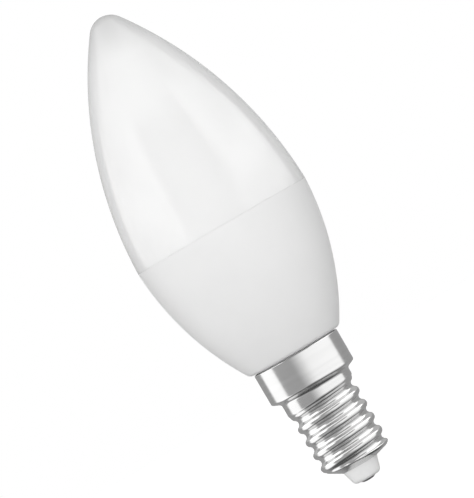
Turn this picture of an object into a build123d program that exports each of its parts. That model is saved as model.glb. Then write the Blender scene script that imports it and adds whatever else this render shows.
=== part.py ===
from build123d import *

import os
from math import atan2, ceil, cos, pi, radians, sin, sqrt, tan

# A candle bulb with a small screw cap. Sizes are in millimetres and degrees. The axis of the bulb is Z,
# with the tip up and zero at the end of the centre contact. The seam, the top of the cap and the end of
# the cap's shell are placed by their heights above zero.

# The bulb's outline: one slender arc above the seam, a fuller one below it, and a round tip.
overall_length = 100.0
widest_diameter = 36.1
seam_height = 54.8
diffuser_side_radius = 77.0
tip_radius = 4.0
housing_side_radius = 56.0
seam_edge_radius = 0.05

# The diffuser plugs into the mouth of the housing.
mouth_wall = 1.6
mouth_depth = 2.5

# The foot of the housing ends just above the rim of the cap's collar and reaches out over it.
rim_gap = 0.2
foot_overhang = 0.775
foot_edge_radius = 1.2

# The cap's shell is one piece of drawn sheet. Bend radii are those of the inner side of each bend. Its end
# is turned in to a cone, which leans with the last crest of the thread.
cap_height = 27.5
sheet_thickness = 0.3
rim_edge_radius = 0.2
collar_diameter = 17.75
collar_height = 6.5
shoulder_slope = 24.0
shoulder_bend_radius = 0.2
band_bend_radius = 0.6
band_diameter = 14.4
band_height = 3.11
end_height = 3.4
end_opening_diameter = 7.5
end_slope = 23.0
end_lean = 7.0
end_bend_radius = 1.1

# The thread is a right-hand one, rolled into the sheet as a round groove between round crests. The crests
# are trimmed a little, and the groove's mouth flares where it runs out into the band.
thread_diameter = 13.89
thread_core_diameter = 12.29
thread_pitch = 2.822
thread_crest_trim = 0.015
thread_flare = 45.0

# The insulator is moulded into the end of the shell, and the contact is a headed pin pressed into it. The
# insulator's flange rises a little above the shell's end, and the neck of the housing stands on it.
insulator_face_diameter = 5.5
insulator_edge_radius = 0.9
insulator_flange_diameter = 10.0
insulator_flange_rise = 0.3
contact_head_diameter = 3.2
contact_head_height = 0.4
contact_land_diameter = 1.4
contact_stem_diameter = 1.6
contact_stem_length = 2.4

# The gap between pieces that slide into one another, and the wider one inside the collar.
fit_clearance = 0.1
collar_clearance = 0.5

UPWARDS = (Align.CENTER, Align.CENTER, Align.MIN)
seam_corner = Vector(widest_diameter / 2, seam_height)
foot_corner = Vector(collar_diameter / 2 + foot_overhang, cap_height + rim_gap)
neck_radius = thread_core_diameter / 2 - sheet_thickness - fit_clearance
collar_foot = cap_height - collar_height
shoulder_foot = collar_foot - (collar_diameter - band_diameter) / 2 * tan(radians(shoulder_slope))
thread_top = shoulder_foot - band_height


def eased(face, corner, radius):
    """The flat face with the corner nearest to a point rounded."""
    return fillet(face.vertices().sort_by_distance(corner)[0], radius)


def turned(face):
    """A solid turned about the axis from a face drawn with radius across and height up."""
    return revolve(Plane.XZ * face, Axis.Z)


def diffuser():
    """The opal dome: its side arc passes through the seam and runs smoothly into the round tip."""
    tip_centre = Vector(0, overall_length - tip_radius)
    reach = tip_centre - seam_corner
    inner_radius = diffuser_side_radius - tip_radius
    along = (reach.length**2 + diffuser_side_radius**2 - inner_radius**2) / (2 * reach.length)
    across = sqrt(diffuser_side_radius**2 - along**2)
    onward = reach.normalized()
    side_centre = seam_corner + onward * along + onward.rotate(Axis.Z, 90) * across
    meeting = tip_centre + (tip_centre - side_centre).normalized() * tip_radius
    tip = (0, overall_length)

    plug_radius = widest_diameter / 2 - mouth_wall - fit_clearance
    plug_foot = seam_height - mouth_depth + fit_clearance
    outline = Polyline((0, plug_foot), (plug_radius, plug_foot), (plug_radius, seam_height), seam_corner)
    outline += RadiusArc(seam_corner, meeting, -diffuser_side_radius)
    outline += RadiusArc(meeting, tip, -tip_radius)
    outline += Line(tip, (0, plug_foot))
    return turned(eased(make_face(outline), seam_corner, seam_edge_radius))


def housing():
    """The white lower body, with the neck that carries the cap."""
    plug_radius = collar_diameter / 2 - sheet_thickness - collar_clearance
    plug_foot = collar_foot + raised(sheet_thickness, shoulder_slope) + fit_clearance
    mouth_radius = widest_diameter / 2 - mouth_wall
    mouth_floor = seam_height - mouth_depth
    neck_foot = insulator_top()
    outline = Polyline(
        (0, neck_foot),
        (neck_radius, neck_foot),
        (neck_radius, plug_foot),
        (plug_radius, plug_foot),
        (plug_radius, foot_corner.Y),
        foot_corner,
    )
    outline += RadiusArc(foot_corner, seam_corner, -housing_side_radius)
    outline += Polyline(
        seam_corner,
        (mouth_radius, seam_height),
        (mouth_radius, mouth_floor),
        (0, mouth_floor),
        (0, neck_foot),
    )
    body = eased(make_face(outline), foot_corner, foot_edge_radius)
    return turned(eased(body, seam_corner, seam_edge_radius))


def raised(inset, slope):
    """How far a corner between an upright wall and a slope rises when both move in by an inset."""
    return inset * tan(radians((90 - slope) / 2))


def end_space(inset):
    """The space above the shell's turned-in end, a leaning cone with its surface moved in by an inset."""
    steep = tan(radians(end_slope + end_lean))
    shallow = tan(radians(end_slope - end_lean))
    across = end_opening_diameter / (steep + shallow)
    apex = Pos((shallow - steep) * across / 2, 0, end_height - steep * shallow * across)
    height = 2 * cap_height
    width = height / tan(radians(end_slope))
    cone = Cone(0, width, height, align=UPWARDS)
    return apex * Rot(0, end_lean, 0) * Pos(0, 0, inset / cos(radians(end_slope))) * cone


def insulator_top():
    """The height of the top of the insulator's flange, above the steep side of the shell's end."""
    steep = radians(end_slope + end_lean)
    slope_rise = (neck_radius - end_opening_diameter / 2) * tan(steep)
    return end_height + slope_rise + sheet_thickness / cos(steep) + insulator_flange_rise


def shell_form(inset):
    """The full form of the shell, its surface moved in by an inset, with the thread's groove cut out."""
    collar_radius = collar_diameter / 2
    band_radius = band_diameter / 2
    crest_radius = thread_diameter / 2
    rise = raised(inset, shoulder_slope)
    rim_corner = (collar_radius - inset, cap_height + inset)
    collar_corner = (collar_radius - inset, collar_foot + rise)
    band_corner = (band_radius - inset, shoulder_foot + rise)
    outline = Polyline(
        (0, cap_height + inset),
        rim_corner,
        collar_corner,
        band_corner,
        (band_radius - inset, thread_top + thread_pitch / 4),
        (crest_radius - inset, thread_top - thread_pitch / 4),
        (crest_radius - inset, 0),
        (0, 0),
        close=True,
    )
    face = eased(make_face(outline), rim_corner, rim_edge_radius)
    face = eased(face, collar_corner, shoulder_bend_radius + sheet_thickness - inset)
    face = eased(face, band_corner, band_bend_radius + inset)
    form = turned(face) & end_space(inset)
    end_edge = form.edges().filter_by(GeomType.LINE, reverse=True).sort_by(Axis.Z)[0]
    form = fillet(end_edge, end_bend_radius + sheet_thickness - inset)
    return form - thread_grooves(inset)


def thread_section(inset):
    """The groove between two crests: its arcs are tangent to one another, and its mouth flares."""
    core_radius = thread_core_diameter / 2
    depth = thread_diameter / 2 - core_radius + thread_crest_trim
    half_width = thread_pitch / 2
    arc_radius = (depth**2 + half_width**2) / (4 * depth)
    crest = core_radius + depth - inset
    outside = band_diameter / 2 + depth
    flank = (
        core_radius + depth / 2 + inset * (depth / 2 / arc_radius - 1),
        half_width / 2 * (1 + inset / arc_radius),
    )
    lip = half_width + (outside - crest) / tan(radians(thread_flare))
    upper_side = TangentArc((crest, half_width), flank, tangent=(0, -1))
    upper_side += Line((crest, half_width), (outside, lip))
    outline = upper_side + mirror(upper_side, Plane.XZ)
    outline += ThreePointArc((flank[0], -flank[1]), (core_radius - inset, 0), flank)
    outline += Line((outside, lip), (outside, -lip))
    return Plane.XZ * make_face(outline)


def thread_grooves(inset):
    """The groove's half turns from the top down, then the one in which it runs out of the band."""
    section = thread_section(inset)
    core_radius = thread_core_diameter / 2
    half_turn = sweep(section, Helix(thread_pitch, thread_pitch / 2, core_radius), is_frenet=True)
    half_turns = ceil((thread_top - end_height) / (thread_pitch / 2))
    grooves = [
        Pos(0, 0, thread_top - step * thread_pitch / 2) * Rot(0, 0, -180 * step) * half_turn
        for step in range(1, half_turns + 1)
    ]
    lead_angle = atan2(thread_pitch, 2 * pi * core_radius)
    lift = thread_diameter - thread_core_diameter
    leaving_axis = Axis((-lift / 2, 0, 0), (0, -sin(lead_angle), cos(lead_angle)))
    grooves.append(Pos(0, 0, thread_top) * revolve(section, leaving_axis, 180))
    return grooves


def screw_shell():
    """The drawn shell: collar, shoulder, band, thread and turned-in end, open at both ends."""
    opening = Cylinder(end_opening_diameter / 2, cap_height, align=UPWARDS)
    return shell_form(0) - shell_form(sheet_thickness) - opening


def insulator():
    """The plug in the shell's end: a cone outside, a flange on the turned-in sheet, a hole for the pin."""
    throat = end_opening_diameter / 2 - fit_clearance
    top = insulator_top()
    face_corner = (insulator_face_diameter / 2, contact_head_height)
    outline = Polyline(
        (0, contact_head_height), face_corner, (throat, end_height), (throat, top), (0, top), close=True
    )
    plug = turned(eased(make_face(outline), face_corner, insulator_edge_radius))
    flange = Cylinder(insulator_flange_diameter / 2, top, align=UPWARDS) & end_space(sheet_thickness)
    hole_end = contact_head_height + contact_stem_length + fit_clearance
    hole = Cylinder(contact_stem_diameter / 2 + fit_clearance, hole_end, align=UPWARDS)
    return plug + flange - hole


def centre_contact():
    """The contact pin: a domed head with a small flat land, and a stem in the insulator."""
    land = (contact_land_diameter / 2, 0)
    head_edge = (contact_head_diameter / 2, contact_head_height)
    stem = contact_stem_diameter / 2
    stem_end = contact_head_height + contact_stem_length
    outline = TangentArc(land, head_edge, tangent=(1, 0))
    outline += Polyline(
        head_edge, (stem, contact_head_height), (stem, stem_end), (0, stem_end), (0, 0), land
    )
    return turned(make_face(outline))


pieces = {
    "diffuser": diffuser(),
    "housing": housing(),
    "screw_shell": screw_shell(),
    "insulator": insulator(),
    "centre_contact": centre_contact(),
}
os.makedirs("parts", exist_ok=True)
for node, shape in pieces.items():
    export_step(shape, f"parts/{node}.step")
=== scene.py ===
# %% [markdown]
# # A candle bulb
# The lamp is a glossy opal diffuser on a satin white housing, with a bright screw cap below. All of it is
# turned about one axis except the thread. The solids of the five pieces are loaded first. They set the
# sizes, and the pieces made here take their places, so that every surface is as smooth as on the real lamp.

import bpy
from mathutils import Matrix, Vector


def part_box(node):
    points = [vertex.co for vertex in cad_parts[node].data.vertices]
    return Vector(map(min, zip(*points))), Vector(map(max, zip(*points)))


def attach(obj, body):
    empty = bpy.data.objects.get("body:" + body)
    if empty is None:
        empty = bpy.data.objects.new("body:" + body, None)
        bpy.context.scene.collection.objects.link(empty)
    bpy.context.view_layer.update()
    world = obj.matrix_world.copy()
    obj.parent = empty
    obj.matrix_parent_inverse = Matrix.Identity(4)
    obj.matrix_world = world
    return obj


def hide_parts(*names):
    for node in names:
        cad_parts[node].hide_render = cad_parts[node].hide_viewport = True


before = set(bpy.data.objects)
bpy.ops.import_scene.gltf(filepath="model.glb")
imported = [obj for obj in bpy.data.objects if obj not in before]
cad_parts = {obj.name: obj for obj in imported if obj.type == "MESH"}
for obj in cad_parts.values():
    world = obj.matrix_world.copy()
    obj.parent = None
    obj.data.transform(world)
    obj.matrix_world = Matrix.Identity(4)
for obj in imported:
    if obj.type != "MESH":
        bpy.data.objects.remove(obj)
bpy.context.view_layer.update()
print("solids:", sorted(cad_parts))

# %% Tools used below
from math import atan2, cos, hypot, pi, radians, remainder, sin, sqrt, tan

import bmesh
import bpy
from mathutils import Matrix, Vector

MM = 0.001

# %% [markdown]
# ## Places read from the solids
# A lamp maker's drawing gives each piece's height on the axis. The solids already have these places, so the
# boxes of the nodes are read here, and nothing has to be fitted by eye.

# %% Heights and radii of the pieces
diffuser_low, diffuser_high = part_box("diffuser")
housing_low, housing_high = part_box("housing")
shell_low, shell_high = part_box("screw_shell")
insulator_low, insulator_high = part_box("insulator")
contact_low, contact_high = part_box("centre_contact")
tip_height = diffuser_high.z
seam_height = housing_high.z
cap_height = shell_high.z
collar_radius = shell_high.x
print("tip, seam and cap heights in mm:", [round(h / MM, 2) for h in (tip_height, seam_height, cap_height)])

# %% [markdown]
# ## Drawing half an outline
# A turned piece is known by half of its outline. The outline could be typed in as many points, but it is
# really a few straight lines, arcs and rounded corners. So one vertex is extruded for a line, spun about the
# arc's centre for an arc, and a corner is rounded with a vertex bevel, as it would be drawn on paper.

# %% Points, lines and arcs


def point(radius, height):
    """A point of a half outline, which is drawn in the XZ plane."""
    return Vector((radius, 0, height))


def start_outline(first):
    """A new mesh that holds the first point of an outline."""
    outline = bmesh.new()
    bmesh.ops.create_vert(outline, co=first)
    return outline


def last_vertex(outline):
    """The vertex that was drawn last."""
    outline.verts.ensure_lookup_table()
    return outline.verts[-1]


def line_to(outline, *ends):
    """Draws on in straight lines through the given points."""
    for end in ends:
        last = last_vertex(outline)
        step = end - last.co
        made = bmesh.ops.extrude_vert_indiv(outline, verts=[last])
        bmesh.ops.translate(outline, verts=made["verts"], vec=step)


def arc_to(outline, centre, end, steps):
    """Draws on to a point along an arc about a centre."""
    last = last_vertex(outline)
    before, after = last.co - centre, end - centre
    turn = remainder(atan2(after.z, after.x) - atan2(before.z, before.x), 2 * pi)
    bmesh.ops.spin(outline, geom=[last], cent=centre, axis=(0, -1, 0), angle=turn, steps=steps)


# %% Rounded corners
# A holding point lies this many times as far from the corner as the rounding's end.
hold = 1.4


def round_corner(outline, corner, radius, segments):
    """Rounds the corner nearest to a point, with a holding point on each side that keeps the shading flat."""
    vertex = min(outline.verts, key=lambda v: (v.co - corner).length)
    arms = [edge.other_vert(vertex).co - vertex.co for edge in vertex.link_edges]
    reach = radius / tan(arms[0].angle(arms[1]) / 2)
    for edge in vertex.link_edges[:]:
        if edge.calc_length() > hold * reach:
            bmesh.utils.edge_split(edge, vertex, hold * reach / edge.calc_length())
    bmesh.ops.bevel(
        outline, geom=[vertex], offset=reach, affect="VERTICES", segments=segments, profile=0.5, material=-1
    )


# %% [markdown]
# ## Turning an outline
# Spinning the outline about the axis is the lathe of the mesh world. A full turn is merged at its start, and
# the points that fall together on the axis are welded, so that the poles are closed.

# %% The lathe
spin_steps = 192
weld_distance = 0.001 * MM


def turn_outline(outline):
    """Spins an outline once round the axis into a closed surface with its faces outwards."""
    geometry = outline.verts[:] + outline.edges[:]
    bmesh.ops.spin(
        outline, geom=geometry, cent=(0, 0, 0), axis=(0, 0, 1), angle=2 * pi, steps=spin_steps, use_merge=True
    )
    bmesh.ops.remove_doubles(outline, verts=outline.verts, dist=weld_distance)
    bmesh.ops.recalc_face_normals(outline, faces=outline.faces)


# %% Putting a finished piece in its solid's place
crease_angle = radians(35)


def place_piece(shape, name, node, material):
    """Makes an object of a finished mesh, lets it stand for its solid and says what was made."""
    for face in shape.faces:
        face.smooth = True
    open_edges = sum(len(edge.link_faces) != 2 for edge in shape.edges)
    mesh = bpy.data.meshes.new(name)
    shape.to_mesh(mesh)
    shape.free()
    mesh.set_sharp_from_angle(angle=crease_angle)
    mesh.materials.append(material)
    piece = bpy.data.objects.new(name, mesh)
    bpy.context.scene.collection.objects.link(piece)
    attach(piece, "root")
    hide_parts(node)
    print(f"{name}: {len(mesh.polygons)} faces, {open_edges} open edges")


# %% [markdown]
# ## Nodes for the finishes
# Real surfaces are never one flat value. Each finish below reads Object coordinates, so its grain keeps its
# real size in millimetres, and lets a noise vary the colour and the roughness a little and lift a fine bump.

# %% A new finish and its grain


def new_finish(name):
    """A new material, its node tree and its surface shader."""
    material = bpy.data.materials.new(name)
    material.use_nodes = True
    return material, material.node_tree, material.node_tree.nodes["Principled BSDF"]


def grain(tree, size, stretch=(1, 1, 1), detail=2.0):
    """Noise from 0 to 1, with features of a given size in metres that can be stretched along the axes."""
    coordinates = tree.nodes.new("ShaderNodeTexCoord")
    mapping = tree.nodes.new("ShaderNodeMapping")
    noise = tree.nodes.new("ShaderNodeTexNoise")
    mapping.inputs["Scale"].default_value = stretch
    noise.inputs["Scale"].default_value = 1 / size
    noise.inputs["Detail"].default_value = detail
    tree.links.new(coordinates.outputs["Object"], mapping.inputs["Vector"])
    tree.links.new(mapping.outputs["Vector"], noise.inputs["Vector"])
    return noise.outputs["Fac"]


# %% Colour and roughness that drift with the grain
# Most of the noise lies between these two values.
grain_low, grain_high = 0.3, 0.7


def vary_colour(tree, shader, source, darker, lighter):
    """Lets the colour drift between two greys."""
    ramp = tree.nodes.new("ShaderNodeValToRGB")
    ramp.color_ramp.elements[0].position = grain_low
    ramp.color_ramp.elements[1].position = grain_high
    ramp.color_ramp.elements[0].color = (*darker, 1)
    ramp.color_ramp.elements[1].color = (*lighter, 1)
    tree.links.new(source, ramp.inputs["Fac"])
    tree.links.new(ramp.outputs["Color"], shader.inputs["Base Color"])


def vary_roughness(tree, shader, source, smoothest, roughest):
    """Lets the roughness drift between two values."""
    spread = tree.nodes.new("ShaderNodeMapRange")
    spread.inputs["From Min"].default_value = grain_low
    spread.inputs["From Max"].default_value = grain_high
    spread.inputs["To Min"].default_value = smoothest
    spread.inputs["To Max"].default_value = roughest
    tree.links.new(source, spread.inputs["Value"])
    tree.links.new(spread.outputs["Result"], shader.inputs["Roughness"])


# %% A fine bump


def lift_bump(tree, shader, source, depth, strength=1.0):
    """Lifts the grain as a bump of a given depth in metres."""
    bump = tree.nodes.new("ShaderNodeBump")
    bump.inputs["Distance"].default_value = depth
    bump.inputs["Strength"].default_value = strength
    tree.links.new(source, bump.inputs["Height"])
    tree.links.new(bump.outputs["Normal"], shader.inputs["Normal"])


# %% [markdown]
# ## The opal diffuser
# The dome is moulded in milky plastic with a polished mould, so it mirrors the studio softly and lets light
# bleed a little way in. Its side is one long arc that runs into a small round tip, and its foot is a plug
# that sits in the housing. A subsurface share gives the milkiness, and a faint orange peel breaks the gloss.
# The tip looks a little greyer than the rest. This is painted shade: less light from above would grey the
# sides too,
# # so the colour itself sinks with the height.

# %% Painted shade that deepens with the height


def paint_shade_upwards(tree, shader, start, end, share):
    """Paints shade into the colour, which sinks to a share of itself from one height in metres to a higher
    one.
    """
    coordinates = tree.nodes.new("ShaderNodeTexCoord")
    parts = tree.nodes.new("ShaderNodeSeparateXYZ")
    shade = tree.nodes.new("ShaderNodeMapRange")
    mix = tree.nodes.new("ShaderNodeVectorMath")
    shade.interpolation_type = "SMOOTHSTEP"
    shade.inputs["From Min"].default_value = start
    shade.inputs["From Max"].default_value = end
    shade.inputs["To Min"].default_value = 1.0
    shade.inputs["To Max"].default_value = share
    mix.operation = "SCALE"
    colour = shader.inputs["Base Color"]
    tree.links.new(coordinates.outputs["Object"], parts.inputs["Vector"])
    tree.links.new(parts.outputs["Z"], shade.inputs["Value"])
    tree.links.new(colour.links[0].from_socket, mix.inputs[0])
    tree.links.new(shade.outputs["Result"], mix.inputs["Scale"])
    tree.links.new(mix.outputs["Vector"], colour)


# %% Opal gloss
# Painted shade greys the tip: over this reach below it, the colour sinks to this share of itself.
painted_shade_reach = 10 * MM
painted_tip_shade = 0.81

opal, tree, shader = new_finish("opal_gloss")
shader.inputs["IOR"].default_value = 1.58
shader.inputs["Subsurface Weight"].default_value = 0.15
shader.inputs["Subsurface Radius"].default_value = (1, 1, 1)
shader.inputs["Subsurface Scale"].default_value = 1.5 * MM
drift = grain(tree, size=9 * MM)
vary_colour(tree, shader, drift, darker=(0.86, 0.86, 0.858), lighter=(0.875, 0.875, 0.873))
# The colour is darkened towards the tip as painted shade.
paint_shade_upwards(tree, shader, start=tip_height - painted_shade_reach, end=tip_height, share=painted_tip_shade)
vary_roughness(tree, shader, grain(tree, size=3 * MM), smoothest=0.07, roughest=0.1)
lift_bump(tree, shader, grain(tree, size=1.6 * MM), depth=0.0004 * MM)
print("opal finish:", opal.name)

# %% Outline of the diffuser
# The solid's arcs meet at 18.05 mm. A hair less keeps the finer mesh inside the solid's box.
widest_radius = 18.049 * MM
diffuser_side_radius = 77.0 * MM
tip_radius = 4.0 * MM
seam_edge_radius = 0.05 * MM
mouth_wall = 1.6 * MM
fit_clearance = 0.1 * MM

seam_corner = point(widest_radius, seam_height)
tip_centre = point(0, tip_height - tip_radius)
reach = tip_centre - seam_corner
inner_radius = diffuser_side_radius - tip_radius
along = (reach.length**2 + diffuser_side_radius**2 - inner_radius**2) / (2 * reach.length)
across = sqrt(diffuser_side_radius**2 - along**2)
onward = reach.normalized()
inward = point(-onward.z, onward.x)
side_centre = seam_corner + onward * along + inward * across
tip_start = tip_centre + (tip_centre - side_centre).normalized() * tip_radius
plug_radius = widest_radius - mouth_wall - fit_clearance

diffuser = start_outline(point(0, diffuser_low.z))
line_to(diffuser, point(plug_radius, diffuser_low.z), point(plug_radius, seam_height), seam_corner)
arc_to(diffuser, side_centre, tip_start, steps=56)
arc_to(diffuser, tip_centre, point(0, tip_height), steps=14)
round_corner(diffuser, seam_corner, seam_edge_radius, segments=5)
turn_outline(diffuser)
place_piece(diffuser, "opal_diffuser", "diffuser", opal)

# %% [markdown]
# ## The white housing
# The lower body is moulded in white plastic from a lightly eroded mould, which leaves a satin surface with a
# grain finer than a fifth of a millimetre. It is the same lathe work: a neck inside the cap, a foot with a
# soft edge just above the collar, one full side arc and a mouth for the diffuser.

# %% Satin white
satin_white, tree, shader = new_finish("satin_white")
shader.inputs["IOR"].default_value = 1.5
drift = grain(tree, size=7 * MM)
vary_colour(tree, shader, drift, darker=(0.82, 0.82, 0.818), lighter=(0.835, 0.835, 0.833))
vary_roughness(tree, shader, grain(tree, size=0.5 * MM), smoothest=0.42, roughest=0.5)
lift_bump(tree, shader, grain(tree, size=0.18 * MM, detail=3.0), depth=0.004 * MM, strength=0.35)
print("housing finish:", satin_white.name)

# %% Outline of the housing
housing_side_radius = 56.0 * MM
foot_overhang = 0.775 * MM
foot_edge_radius = 1.2 * MM
sheet_thickness = 0.3 * MM
collar_clearance = 0.5 * MM
mouth_depth = 2.5 * MM
collar_height = 6.5 * MM
rim_gap = 0.2 * MM
shoulder_slope = radians(24)
core_radius = 6.145 * MM


def outer_arc_centre(start, end, radius):
    """The centre of an arc that bulges away from the axis on its way up."""
    chord = end - start
    back = sqrt(radius**2 - (chord.length / 2) ** 2)
    return (start + end) / 2 + point(-chord.z, chord.x).normalized() * back


foot_corner = point(collar_radius + foot_overhang, cap_height + rim_gap)
neck_radius = core_radius - sheet_thickness - fit_clearance
collar_plug_radius = collar_radius - sheet_thickness - collar_clearance
collar_foot = cap_height - collar_height
collar_plug_foot = collar_foot + sheet_thickness * tan((pi / 2 - shoulder_slope) / 2) + fit_clearance
mouth_radius = widest_radius - mouth_wall
mouth_floor = seam_height - mouth_depth

housing = start_outline(point(0, housing_low.z))
line_to(housing, point(neck_radius, housing_low.z), point(neck_radius, collar_plug_foot))
line_to(housing, point(collar_plug_radius, collar_plug_foot))
line_to(housing, point(collar_plug_radius, foot_corner.z), foot_corner)
housing_side_centre = outer_arc_centre(foot_corner, seam_corner, housing_side_radius)
arc_to(housing, housing_side_centre, seam_corner, steps=34)
line_to(housing, point(mouth_radius, seam_height), point(mouth_radius, mouth_floor), point(0, mouth_floor))
round_corner(housing, foot_corner, foot_edge_radius, segments=8)
round_corner(housing, seam_corner, seam_edge_radius, segments=5)
turn_outline(housing)
place_piece(housing, "white_housing", "housing", satin_white)

# %% [markdown]
# ## The screw shell
# The cap's shell is drawn from thin sheet and plated with nickel, and its thread is rolled in afterwards. It
# is made the same way here: the plain cup is turned, then the groove presses the surface in along a helix,
# and only then does the sheet get its thickness. The helix climbs to the right, as on every lamp cap, and
# runs out of the plain band in half a turn.

# %% Bright nickel
nickel, tree, shader = new_finish("bright_nickel")
shader.inputs["Metallic"].default_value = 1.0
# The grain is drawn out sideways, so its lines lie level round the shell, as drawing and rolling leave them.
around = (0.02, 0.02, 1)
drift = grain(tree, size=0.9 * MM, stretch=around)
vary_colour(tree, shader, drift, darker=(0.7, 0.699, 0.697), lighter=(0.735, 0.734, 0.732))
fine_lines = grain(tree, size=0.25 * MM, stretch=around, detail=3.0)
vary_roughness(tree, shader, fine_lines, smoothest=0.15, roughest=0.2)
finest_lines = grain(tree, size=0.12 * MM, stretch=around, detail=3.0)
lift_bump(tree, shader, finest_lines, depth=0.0006 * MM, strength=0.5)
print("cap finish:", nickel.name)

# %% Outline of the plain cup
band_radius = 7.2 * MM
band_height = 3.11 * MM
thread_radius = 6.945 * MM
thread_pitch = 2.822 * MM
opening_radius = 3.75 * MM
shallow_end, steep_end = radians(16), radians(30)
rim_edge_radius = 0.2 * MM
shoulder_bend_radius = 0.5 * MM
band_bend_radius = 0.6 * MM
end_bend_radius = 1.4 * MM
rings_per_pitch = 24

shoulder_foot = collar_foot - (collar_radius - band_radius) * tan(shoulder_slope)
thread_top = shoulder_foot - band_height
collar_corner = point(collar_radius, collar_foot)
band_corner = point(band_radius, shoulder_foot)
end_corner = point(thread_radius, shell_low.z + (thread_radius - opening_radius) * tan(shallow_end))

shell = start_outline(point(collar_radius, cap_height))
line_to(shell, point(collar_radius, cap_height - hold * rim_edge_radius), collar_corner, band_corner)
line_to(shell, point(band_radius, thread_top + thread_pitch / 4))
line_to(shell, point(thread_radius, thread_top - thread_pitch / 4), end_corner)
line_to(shell, point(opening_radius, shell_low.z))
round_corner(shell, collar_corner, shoulder_bend_radius, segments=6)
round_corner(shell, band_corner, band_bend_radius, segments=6)
round_corner(shell, end_corner, end_bend_radius, segments=14)
# The long stretches below the shoulder get enough rings for the thread.
long_edges = [
    edge
    for edge in shell.edges
    if edge.calc_length() > thread_pitch / rings_per_pitch and max(v.co.z for v in edge.verts) < shoulder_foot
]
for edge in long_edges:
    rings = round(edge.calc_length() / thread_pitch * rings_per_pitch)
    bmesh.ops.subdivide_edges(shell, edges=[edge], cuts=rings)
turn_outline(shell)
print("plain cup:", len(shell.verts), "vertices")

# %% [markdown]
# ## The leaning end and the rolled thread
# A groove could be swept along a helix and cut out with a Boolean, but that leaves ragged triangles that show
# in a mirror finish. Here the rings of the cup stay, and each of their vertices moves in to the groove's
# surface, as the sheet does under the roll. The turned-in end leans with the last crest, so its slope changes
# round the axis, and its vertices are moved in the same way.

# %% Leaning end


def end_slope_at(angle):
    """The slope of the shell's end, shallow on the right and steep on the left, where the crest is high."""
    return (tan(steep_end) + tan(shallow_end) - (tan(steep_end) - tan(shallow_end)) * cos(angle)) / 2


def end_radius(angle, height):
    """The radius of the turned-in end and of the bend between it and the upright wall."""
    slope = end_slope_at(angle)
    corner = shell_low.z + (thread_radius - opening_radius) * slope
    reach = end_bend_radius / tan((pi / 2 + atan2(slope, 1)) / 2)
    bend_start = corner + reach
    bend_end = corner - reach * slope / hypot(1, slope)
    if height >= bend_start:
        return thread_radius
    if height >= bend_end:
        return thread_radius - end_bend_radius + sqrt(end_bend_radius**2 - (bend_start - height) ** 2)
    return opening_radius + (height - shell_low.z) / slope


print("slopes of the end, right and left:", [round(end_slope_at(angle), 3) for angle in (0, pi)])

# %% Section of the thread
crest_trim = 0.015 * MM
groove_depth = thread_radius - core_radius + crest_trim
half_pitch = thread_pitch / 2
groove_arc = (groove_depth**2 + half_pitch**2) / (4 * groove_depth)
run_out_lift = thread_radius - core_radius
turns_below_top = 5
bend_softness = 0.25 * MM


def groove_section(offset):
    """How far the groove's surface lies above its root at a distance from its middle."""
    if offset <= half_pitch / 2:
        return groove_arc - sqrt(groove_arc**2 - offset**2)
    if offset <= half_pitch:
        return groove_depth - groove_arc + sqrt(groove_arc**2 - (half_pitch - offset) ** 2)
    return groove_depth + offset - half_pitch


def groove_radius(angle, height):
    """The radius of the nearest turn of the groove's surface, which rises to its run-out at the top."""
    nearest = collar_radius
    for turn in range(-turns_below_top, 1):
        wound = angle + 2 * pi * turn
        run_out = max(0.0, wound)
        root = core_radius + run_out_lift * (1 - cos(run_out))
        middle = thread_top + thread_pitch * wound / (2 * pi)
        nearest = min(nearest, root + groove_section(abs(height - middle)))
    return nearest


def soft_minimum(first, second, softness):
    """The smaller of two radii, with a soft bend where they cross."""
    closeness = max(0.0, 1 - abs(first - second) / softness)
    return min(first, second) - softness * closeness**2 / 4


print("groove depth in mm:", round(groove_depth / MM, 3))

# %% Rolling the thread
for vertex in shell.verts:
    if vertex.co.z < shoulder_foot:
        radius = hypot(vertex.co.x, vertex.co.y)
        angle = atan2(vertex.co.y, vertex.co.x)
        plain = end_radius(angle, vertex.co.z) if radius <= thread_radius else radius
        softness = max(weld_distance, min(bend_softness, abs(plain - thread_radius)))
        vertex.co.xy *= soft_minimum(plain, groove_radius(angle, vertex.co.z), softness) / radius
bmesh.ops.recalc_face_normals(shell, faces=shell.faces)
print("thread rolled below", round(thread_top / MM, 2), "mm")

# %% Thickness and rim of the sheet
bmesh.ops.solidify(shell, geom=shell.faces[:], thickness=sheet_thickness)
rim_edges = [
    edge
    for edge in shell.edges
    if all(v.co.z > cap_height - weld_distance for v in edge.verts)
    and all(hypot(v.co.x, v.co.y) > collar_radius - weld_distance for v in edge.verts)
]
bmesh.ops.bevel(
    shell, geom=rim_edges, offset=rim_edge_radius, affect="EDGES", segments=4, profile=0.5, material=-1
)
print("rim rounded along", len(rim_edges), "edges")
place_piece(shell, "nickel_screw_shell", "screw_shell", nickel)

# %% [markdown]
# ## The insulator and the contact
# The pale plug is moulded through the opening of the shell, and the contact is a small headed pin pressed
# into it. Both are lathe work again. The plug is slightly mottled, and the pin is plated like the shell but
# dulled where it is pressed.

# %% Pale insulation
pale_insulation, tree, shader = new_finish("pale_insulation")
shader.inputs["IOR"].default_value = 1.5
mottle = grain(tree, size=0.8 * MM, detail=4.0)
vary_colour(tree, shader, mottle, darker=(0.8, 0.8, 0.797), lighter=(0.83, 0.83, 0.827))
vary_roughness(tree, shader, grain(tree, size=0.4 * MM), smoothest=0.34, roughest=0.46)
lift_bump(tree, shader, grain(tree, size=0.15 * MM, detail=3.0), depth=0.003 * MM, strength=0.4)
print("insulator finish:", pale_insulation.name)

# %% Insulator plug
face_radius = 2.75 * MM
face_edge_radius = 0.9 * MM
stem_radius = 0.8 * MM
throat_radius = opening_radius - fit_clearance
hole_radius = stem_radius + fit_clearance
hole_end = contact_high.z + fit_clearance
face_corner = point(face_radius, insulator_low.z)


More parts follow.
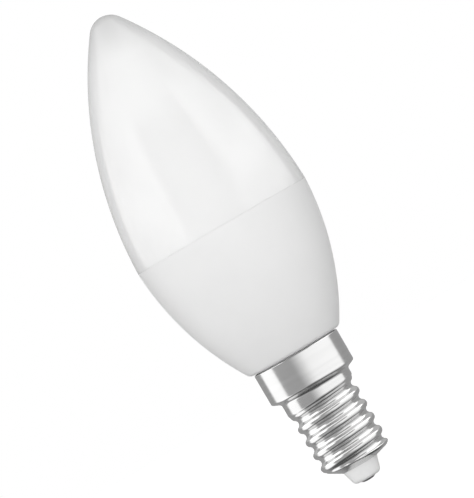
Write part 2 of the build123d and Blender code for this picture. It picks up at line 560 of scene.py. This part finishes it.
def inside_of_end(angle, radius):
    """The height of the inner side of the shell's leaning end."""
    slope = end_slope_at(angle)
    return shell_low.z + (radius - opening_radius) * slope + sheet_thickness * hypot(1, slope)


flange_radius = insulator_high.x
flange_foot = inside_of_end(0, flange_radius)
plug = start_outline(point(0, hole_end))
line_to(plug, point(hole_radius, hole_end), point(hole_radius, insulator_low.z), face_corner)
line_to(plug, point(throat_radius, shell_low.z), point(throat_radius, flange_foot))
line_to(plug, point(flange_radius, flange_foot), point(flange_radius, insulator_high.z))
line_to(plug, point(0, insulator_high.z))
round_corner(plug, face_corner, face_edge_radius, segments=8)
turn_outline(plug)
# The underside of the flange lies on the leaning end of the shell.
for vertex in plug.verts:
    if abs(vertex.co.z - flange_foot) < weld_distance:
        vertex.co.z = inside_of_end(atan2(vertex.co.y, vertex.co.x), hypot(vertex.co.x, vertex.co.y))
place_piece(plug, "pale_insulator", "insulator", pale_insulation)

# %% Dull plate
dull_plate, tree, shader = new_finish("dull_plate")
shader.inputs["Metallic"].default_value = 1.0
mottle = grain(tree, size=0.5 * MM)
vary_colour(tree, shader, mottle, darker=(0.5, 0.5, 0.498), lighter=(0.6, 0.6, 0.598))
vary_roughness(tree, shader, grain(tree, size=0.2 * MM), smoothest=0.22, roughest=0.36)
lift_bump(tree, shader, grain(tree, size=0.1 * MM, detail=3.0), depth=0.002 * MM, strength=0.4)
print("contact finish:", dull_plate.name)

# %% Contact pin
land_radius = 0.7 * MM
head_edge = point(contact_high.x, insulator_low.z)
head_overhang = head_edge.x - land_radius
dome_radius = (head_overhang**2 + head_edge.z**2) / (2 * head_edge.z)
pin = start_outline(point(0, contact_low.z))
line_to(pin, point(land_radius, contact_low.z))
arc_to(pin, point(land_radius, dome_radius), head_edge, steps=10)
line_to(pin, point(stem_radius, insulator_low.z), point(stem_radius, contact_high.z))
line_to(pin, point(0, contact_high.z))
turn_outline(pin)
place_piece(pin, "contact_pin", "centre_contact", dull_plate)

# %% [markdown]
# ## The studio
# The photograph has a plain white ground and wide soft light from the front and the sides, with less from
# above and behind. So the world is bright in front and dimmer up and behind, and a wide lamp adds a bit of
# front light. A second one lights the back, which the photograph doesn't show and the world leaves grey.
# What camera, gloss and glass see of the world is plain white.

# %% Rays from camera, gloss and glass


def seen_rays(tree):
    """1 for rays from the camera and for gloss and glass, and 0 for the rest."""
    path = tree.nodes.new("ShaderNodeLightPath")
    some = tree.nodes.new("ShaderNodeMath")
    either = tree.nodes.new("ShaderNodeMath")
    some.operation = "MAXIMUM"
    either.operation = "MAXIMUM"
    tree.links.new(path.outputs["Is Camera Ray"], some.inputs[0])
    tree.links.new(path.outputs["Is Glossy Ray"], some.inputs[1])
    tree.links.new(some.outputs["Value"], either.inputs[0])
    tree.links.new(path.outputs["Is Transmission Ray"], either.inputs[1])
    return either.outputs["Value"]


# %% White world
scene = bpy.context.scene
scene.view_settings.view_transform = "Standard"
front_fill = 1.42
back_fill = 0.2
# The fill fades along a direction that leans up from straight back, between these two cosines to it.
fill_lean = radians(70)
fade_start, fade_end = 0.0, 0.8

world = bpy.data.worlds.new("white_studio")
scene.world = world
world.use_nodes = True
sky = world.node_tree
direction = sky.nodes.new("ShaderNodeTexCoord")
behind = sky.nodes.new("ShaderNodeVectorMath")
behind.operation = "DOT_PRODUCT"
behind.inputs[1].default_value = (0, cos(fill_lean), sin(fill_lean))
fill = sky.nodes.new("ShaderNodeMapRange")
fill.interpolation_type = "SMOOTHSTEP"
fill.inputs["From Min"].default_value = fade_start
fill.inputs["From Max"].default_value = fade_end
fill.inputs["To Min"].default_value = front_fill
fill.inputs["To Max"].default_value = back_fill
levels = sky.nodes.new("ShaderNodeMapRange")
levels.inputs["To Max"].default_value = 1.0
ground_white = sky.nodes["Background"]
ground_white.inputs["Color"].default_value = (1, 1, 1, 1)
sky.links.new(direction.outputs["Generated"], behind.inputs[0])
sky.links.new(behind.outputs["Value"], fill.inputs["Value"])
sky.links.new(fill.outputs["Result"], levels.inputs["To Min"])
sky.links.new(seen_rays(sky), levels.inputs["Value"])
sky.links.new(levels.outputs["Result"], ground_white.inputs["Strength"])
print("fill in front and behind:", front_fill, back_fill)

# %% Front and back lamps


def add_lamp(name, level, azimuth, elevation, spread):
    """A wide far lamp that lights a surface facing it with a given level; gloss doesn't see it."""
    light = bpy.data.lights.new(name, "SUN")
    light.energy = level * pi
    light.angle = spread
    lamp = bpy.data.objects.new(name, light)
    lamp.rotation_euler = (pi / 2 - elevation, 0, azimuth)
    lamp.visible_glossy = False
    scene.collection.objects.link(lamp)
    print(f"{name}:", round(light.energy, 3))


lamp_elevation = radians(-4)
add_lamp("front_lamp", level=0.48, azimuth=radians(-12), elevation=lamp_elevation, spread=radians(60))
add_lamp("back_lamp", level=1.15, azimuth=radians(180), elevation=lamp_elevation, spread=radians(40))

# %% Pale floor
floor_drop = 80 * MM
floor_side = 6.0
floor_grey = 0.8
floor_glow = 0.6

floor_material = bpy.data.materials.new("pale_floor")
floor_material.use_nodes = True
tree = floor_material.node_tree
tree.nodes.remove(tree.nodes["Principled BSDF"])
paint = tree.nodes.new("ShaderNodeBsdfDiffuse")
glow = tree.nodes.new("ShaderNodeEmission")
glow_level = tree.nodes.new("ShaderNodeMath")
both = tree.nodes.new("ShaderNodeAddShader")
paint.inputs["Color"].default_value = (floor_grey, floor_grey, floor_grey, 1)
glow_level.operation = "MULTIPLY"
glow_level.inputs[1].default_value = floor_glow
tree.links.new(seen_rays(tree), glow_level.inputs[0])
tree.links.new(glow_level.outputs["Value"], glow.inputs["Strength"])
tree.links.new(paint.outputs["BSDF"], both.inputs[0])
tree.links.new(glow.outputs["Emission"], both.inputs[1])
tree.links.new(both.outputs["Shader"], tree.nodes["Material Output"].inputs["Surface"])

floor_shape = bmesh.new()
bmesh.ops.create_grid(floor_shape, x_segments=1, y_segments=1, size=floor_side / 2)
bmesh.ops.translate(floor_shape, verts=floor_shape.verts, vec=(0, 0, -floor_drop))
floor_mesh = bpy.data.meshes.new("floor")
floor_shape.to_mesh(floor_mesh)
floor_shape.free()
floor_mesh.materials.append(floor_material)
floor = bpy.data.objects.new("floor", floor_mesh)
scene.collection.objects.link(floor)
print("floor at", -floor_drop, "m")

# %% [markdown]
# ## What the gloss sees
# Bright metal shows nothing but its surroundings, and the opal dome mirrors them faintly. The photograph
# shows two soft boxes high on the left and the right, and lower down a bright card, a dark card and a wide
# bright one, with dark cloth behind and below. Many cards could stand there, but their edges have to be soft.
# So one drum is turned round the lamp, and each of its points has a level of brightness of its own. Only the
# gloss can see it, so it makes the reflections and adds no light.

# %% Levels round the lamp
# The levels of the cloth below and behind, the dark card, the gap in front and the soft boxes.
below, low_back, back = 0.1, 0.38, 0.55
card, front = 0.42, 0.4
left_box, right_box = 1.7, 2.1


def all_round(level):
    """One level all round."""
    return ((-180, level), (180, level))


# Each stop is an azimuth in degrees, counted from the camera to the right, and a level.
low_stops = (
    (-180, low_back), (-121, low_back), (-117, 1.38), (-74, 1.38), (-70, card), (-22, card), (-10, 0.66),
    (0, 0.9), (10, 1.12), (20, 1.22), (97, 1.28), (103, low_back), (180, low_back),
)
foot_stops = (
    (-180, low_back), (-121, low_back), (-117, 1.4), (-74, 1.4), (-68, 0.5), (-30, 0.5), (-18, 0.42),
    (8, 0.42), (20, 0.75), (97, 0.75), (103, low_back), (180, low_back),
)
left_stops = (
    (-180, back), (-128, back), (-122, left_box), (-44, left_box), (-34, front), (28, front), (40, 1.3),
    (100, 2.2), (118, 1.7), (126, back), (180, back),
)
both_stops = (
    (-180, back), (-128, back), (-122, left_box), (-102, 2.1), (-80, 2.1), (-44, left_box), (-34, front),
    (36, front), (50, right_box), (80, 2.8), (102, 2.8), (118, right_box), (126, back), (180, back),
)
tall_stops = (
    (-180, back), (-127, back), (-120, left_box), (-46, left_box), (-35, front), (37, front),
    (51, right_box), (116, right_box), (124, back), (180, back),
)
high_stops = (
    (-180, back), (-116, back), (-107, left_box), (-53, left_box), (-40, front), (38, front),
    (52, right_box), (104, right_box), (112, back), (180, back),
)
over_stops = ((-180, back), (-113, back), (-104, 1.35), (100, 1.3), (109, back), (180, back))
print("levels of the soft boxes, left and right:", left_box, right_box)

# %% Rows of the drum
drum_radius = 250 * MM
drum_foot, drum_top = -70 * MM, 420 * MM
base_dark, base_pale = 62 * MM, 120 * MM
lid_dark, lid_pale = 0.55 * drum_radius, 0.7 * drum_radius
# Each row is a radius, a height and the stops there, from the middle of the base to the middle of the lid.
drum_rows = (
    (0, drum_foot, all_round(below)),
    (base_dark, drum_foot, all_round(below)),
    (base_pale, drum_foot, foot_stops),
    (drum_radius, drum_foot, foot_stops),
    (drum_radius, -25 * MM, low_stops),
    (drum_radius, 50 * MM, low_stops),
    (drum_radius, 78 * MM, left_stops),
    (drum_radius, 95 * MM, left_stops),
    (drum_radius, 110 * MM, both_stops),
    (drum_radius, 130 * MM, both_stops),
    (drum_radius, 160 * MM, tall_stops),
    (drum_radius, 250 * MM, high_stops),
    (drum_radius, 320 * MM, over_stops),
    (drum_radius, drum_top, over_stops),
    (lid_pale, drum_top, over_stops),
    (lid_dark, drum_top, all_round(back)),
    (0, drum_top, all_round(back)),
)
print("rows of levels:", len(drum_rows))

# %% Shape of the drum
from numpy import interp

drum_shape = start_outline(point(*drum_rows[0][:2]))
line_to(drum_shape, *[point(*row[:2]) for row in drum_rows[1:]])
turn_outline(drum_shape)
level_layer = drum_shape.verts.layers.float.new("level")
for vertex in drum_shape.verts:
    place = point(hypot(vertex.co.x, vertex.co.y), vertex.co.z)
    row = min(drum_rows, key=lambda candidate: (point(*candidate[:2]) - place).length)
    azimuths, levels_there = zip(*row[2])
    azimuth = atan2(vertex.co.x, -vertex.co.y) * 180 / pi
    vertex[level_layer] = interp(azimuth, azimuths, levels_there)
drum_mesh = bpy.data.meshes.new("drum")
drum_shape.to_mesh(drum_mesh)
drum_shape.free()
print("drum:", len(drum_mesh.polygons), "faces")

# %% Glow of the drum
drum_material = bpy.data.materials.new("drum_levels")
drum_material.use_nodes = True
tree = drum_material.node_tree
tree.nodes.remove(tree.nodes["Principled BSDF"])
glow = tree.nodes.new("ShaderNodeEmission")
level = tree.nodes.new("ShaderNodeAttribute")
level.attribute_name = "level"
tree.links.new(level.outputs["Fac"], glow.inputs["Strength"])
tree.links.new(glow.outputs["Emission"], tree.nodes["Material Output"].inputs["Surface"])
drum_mesh.materials.append(drum_material)
drum = bpy.data.objects.new("drum", drum_mesh)
drum.visible_camera = False
drum.visible_diffuse = False
drum.visible_shadow = False
scene.collection.objects.link(drum)
print("drum glows by its attribute:", level.attribute_name)

# %% [markdown]
# ## The camera
# The photograph looks straight at the side of the lamp through a long lens, with the lamp leaning to the
# left. The solids stay upright, so the camera is rolled instead.

# %% Rolled camera
picture_height = 498
pixels_per_mm = 5.345
lean = radians(30.2)
lens = 300
sensor = 36
axis_middle = 50 * MM
# The picture's middle lies this many pixels to the right of the axis' middle and below it.
pixels_right, pixels_down = 2.26, 0.53
aim_right = pixels_right / pixels_per_mm * MM
aim_down = pixels_down / pixels_per_mm * MM

camera_data = bpy.data.cameras.new("camera")
camera_data.lens = lens
camera_data.sensor_width = sensor
camera = bpy.data.objects.new("camera", camera_data)
distance = lens / sensor * picture_height / pixels_per_mm * MM
turn = Matrix.Rotation(lean, 4, "Y") @ Matrix.Rotation(pi / 2, 4, "X")
aim = Vector((0, 0, axis_middle)) + turn @ Vector((aim_right, -aim_down, 0))
camera.matrix_world = Matrix.Translation(aim + Vector((0, -distance, 0))) @ turn
scene.collection.objects.link(camera)
scene.camera = camera
print("camera stands", round(distance, 3), "m away")
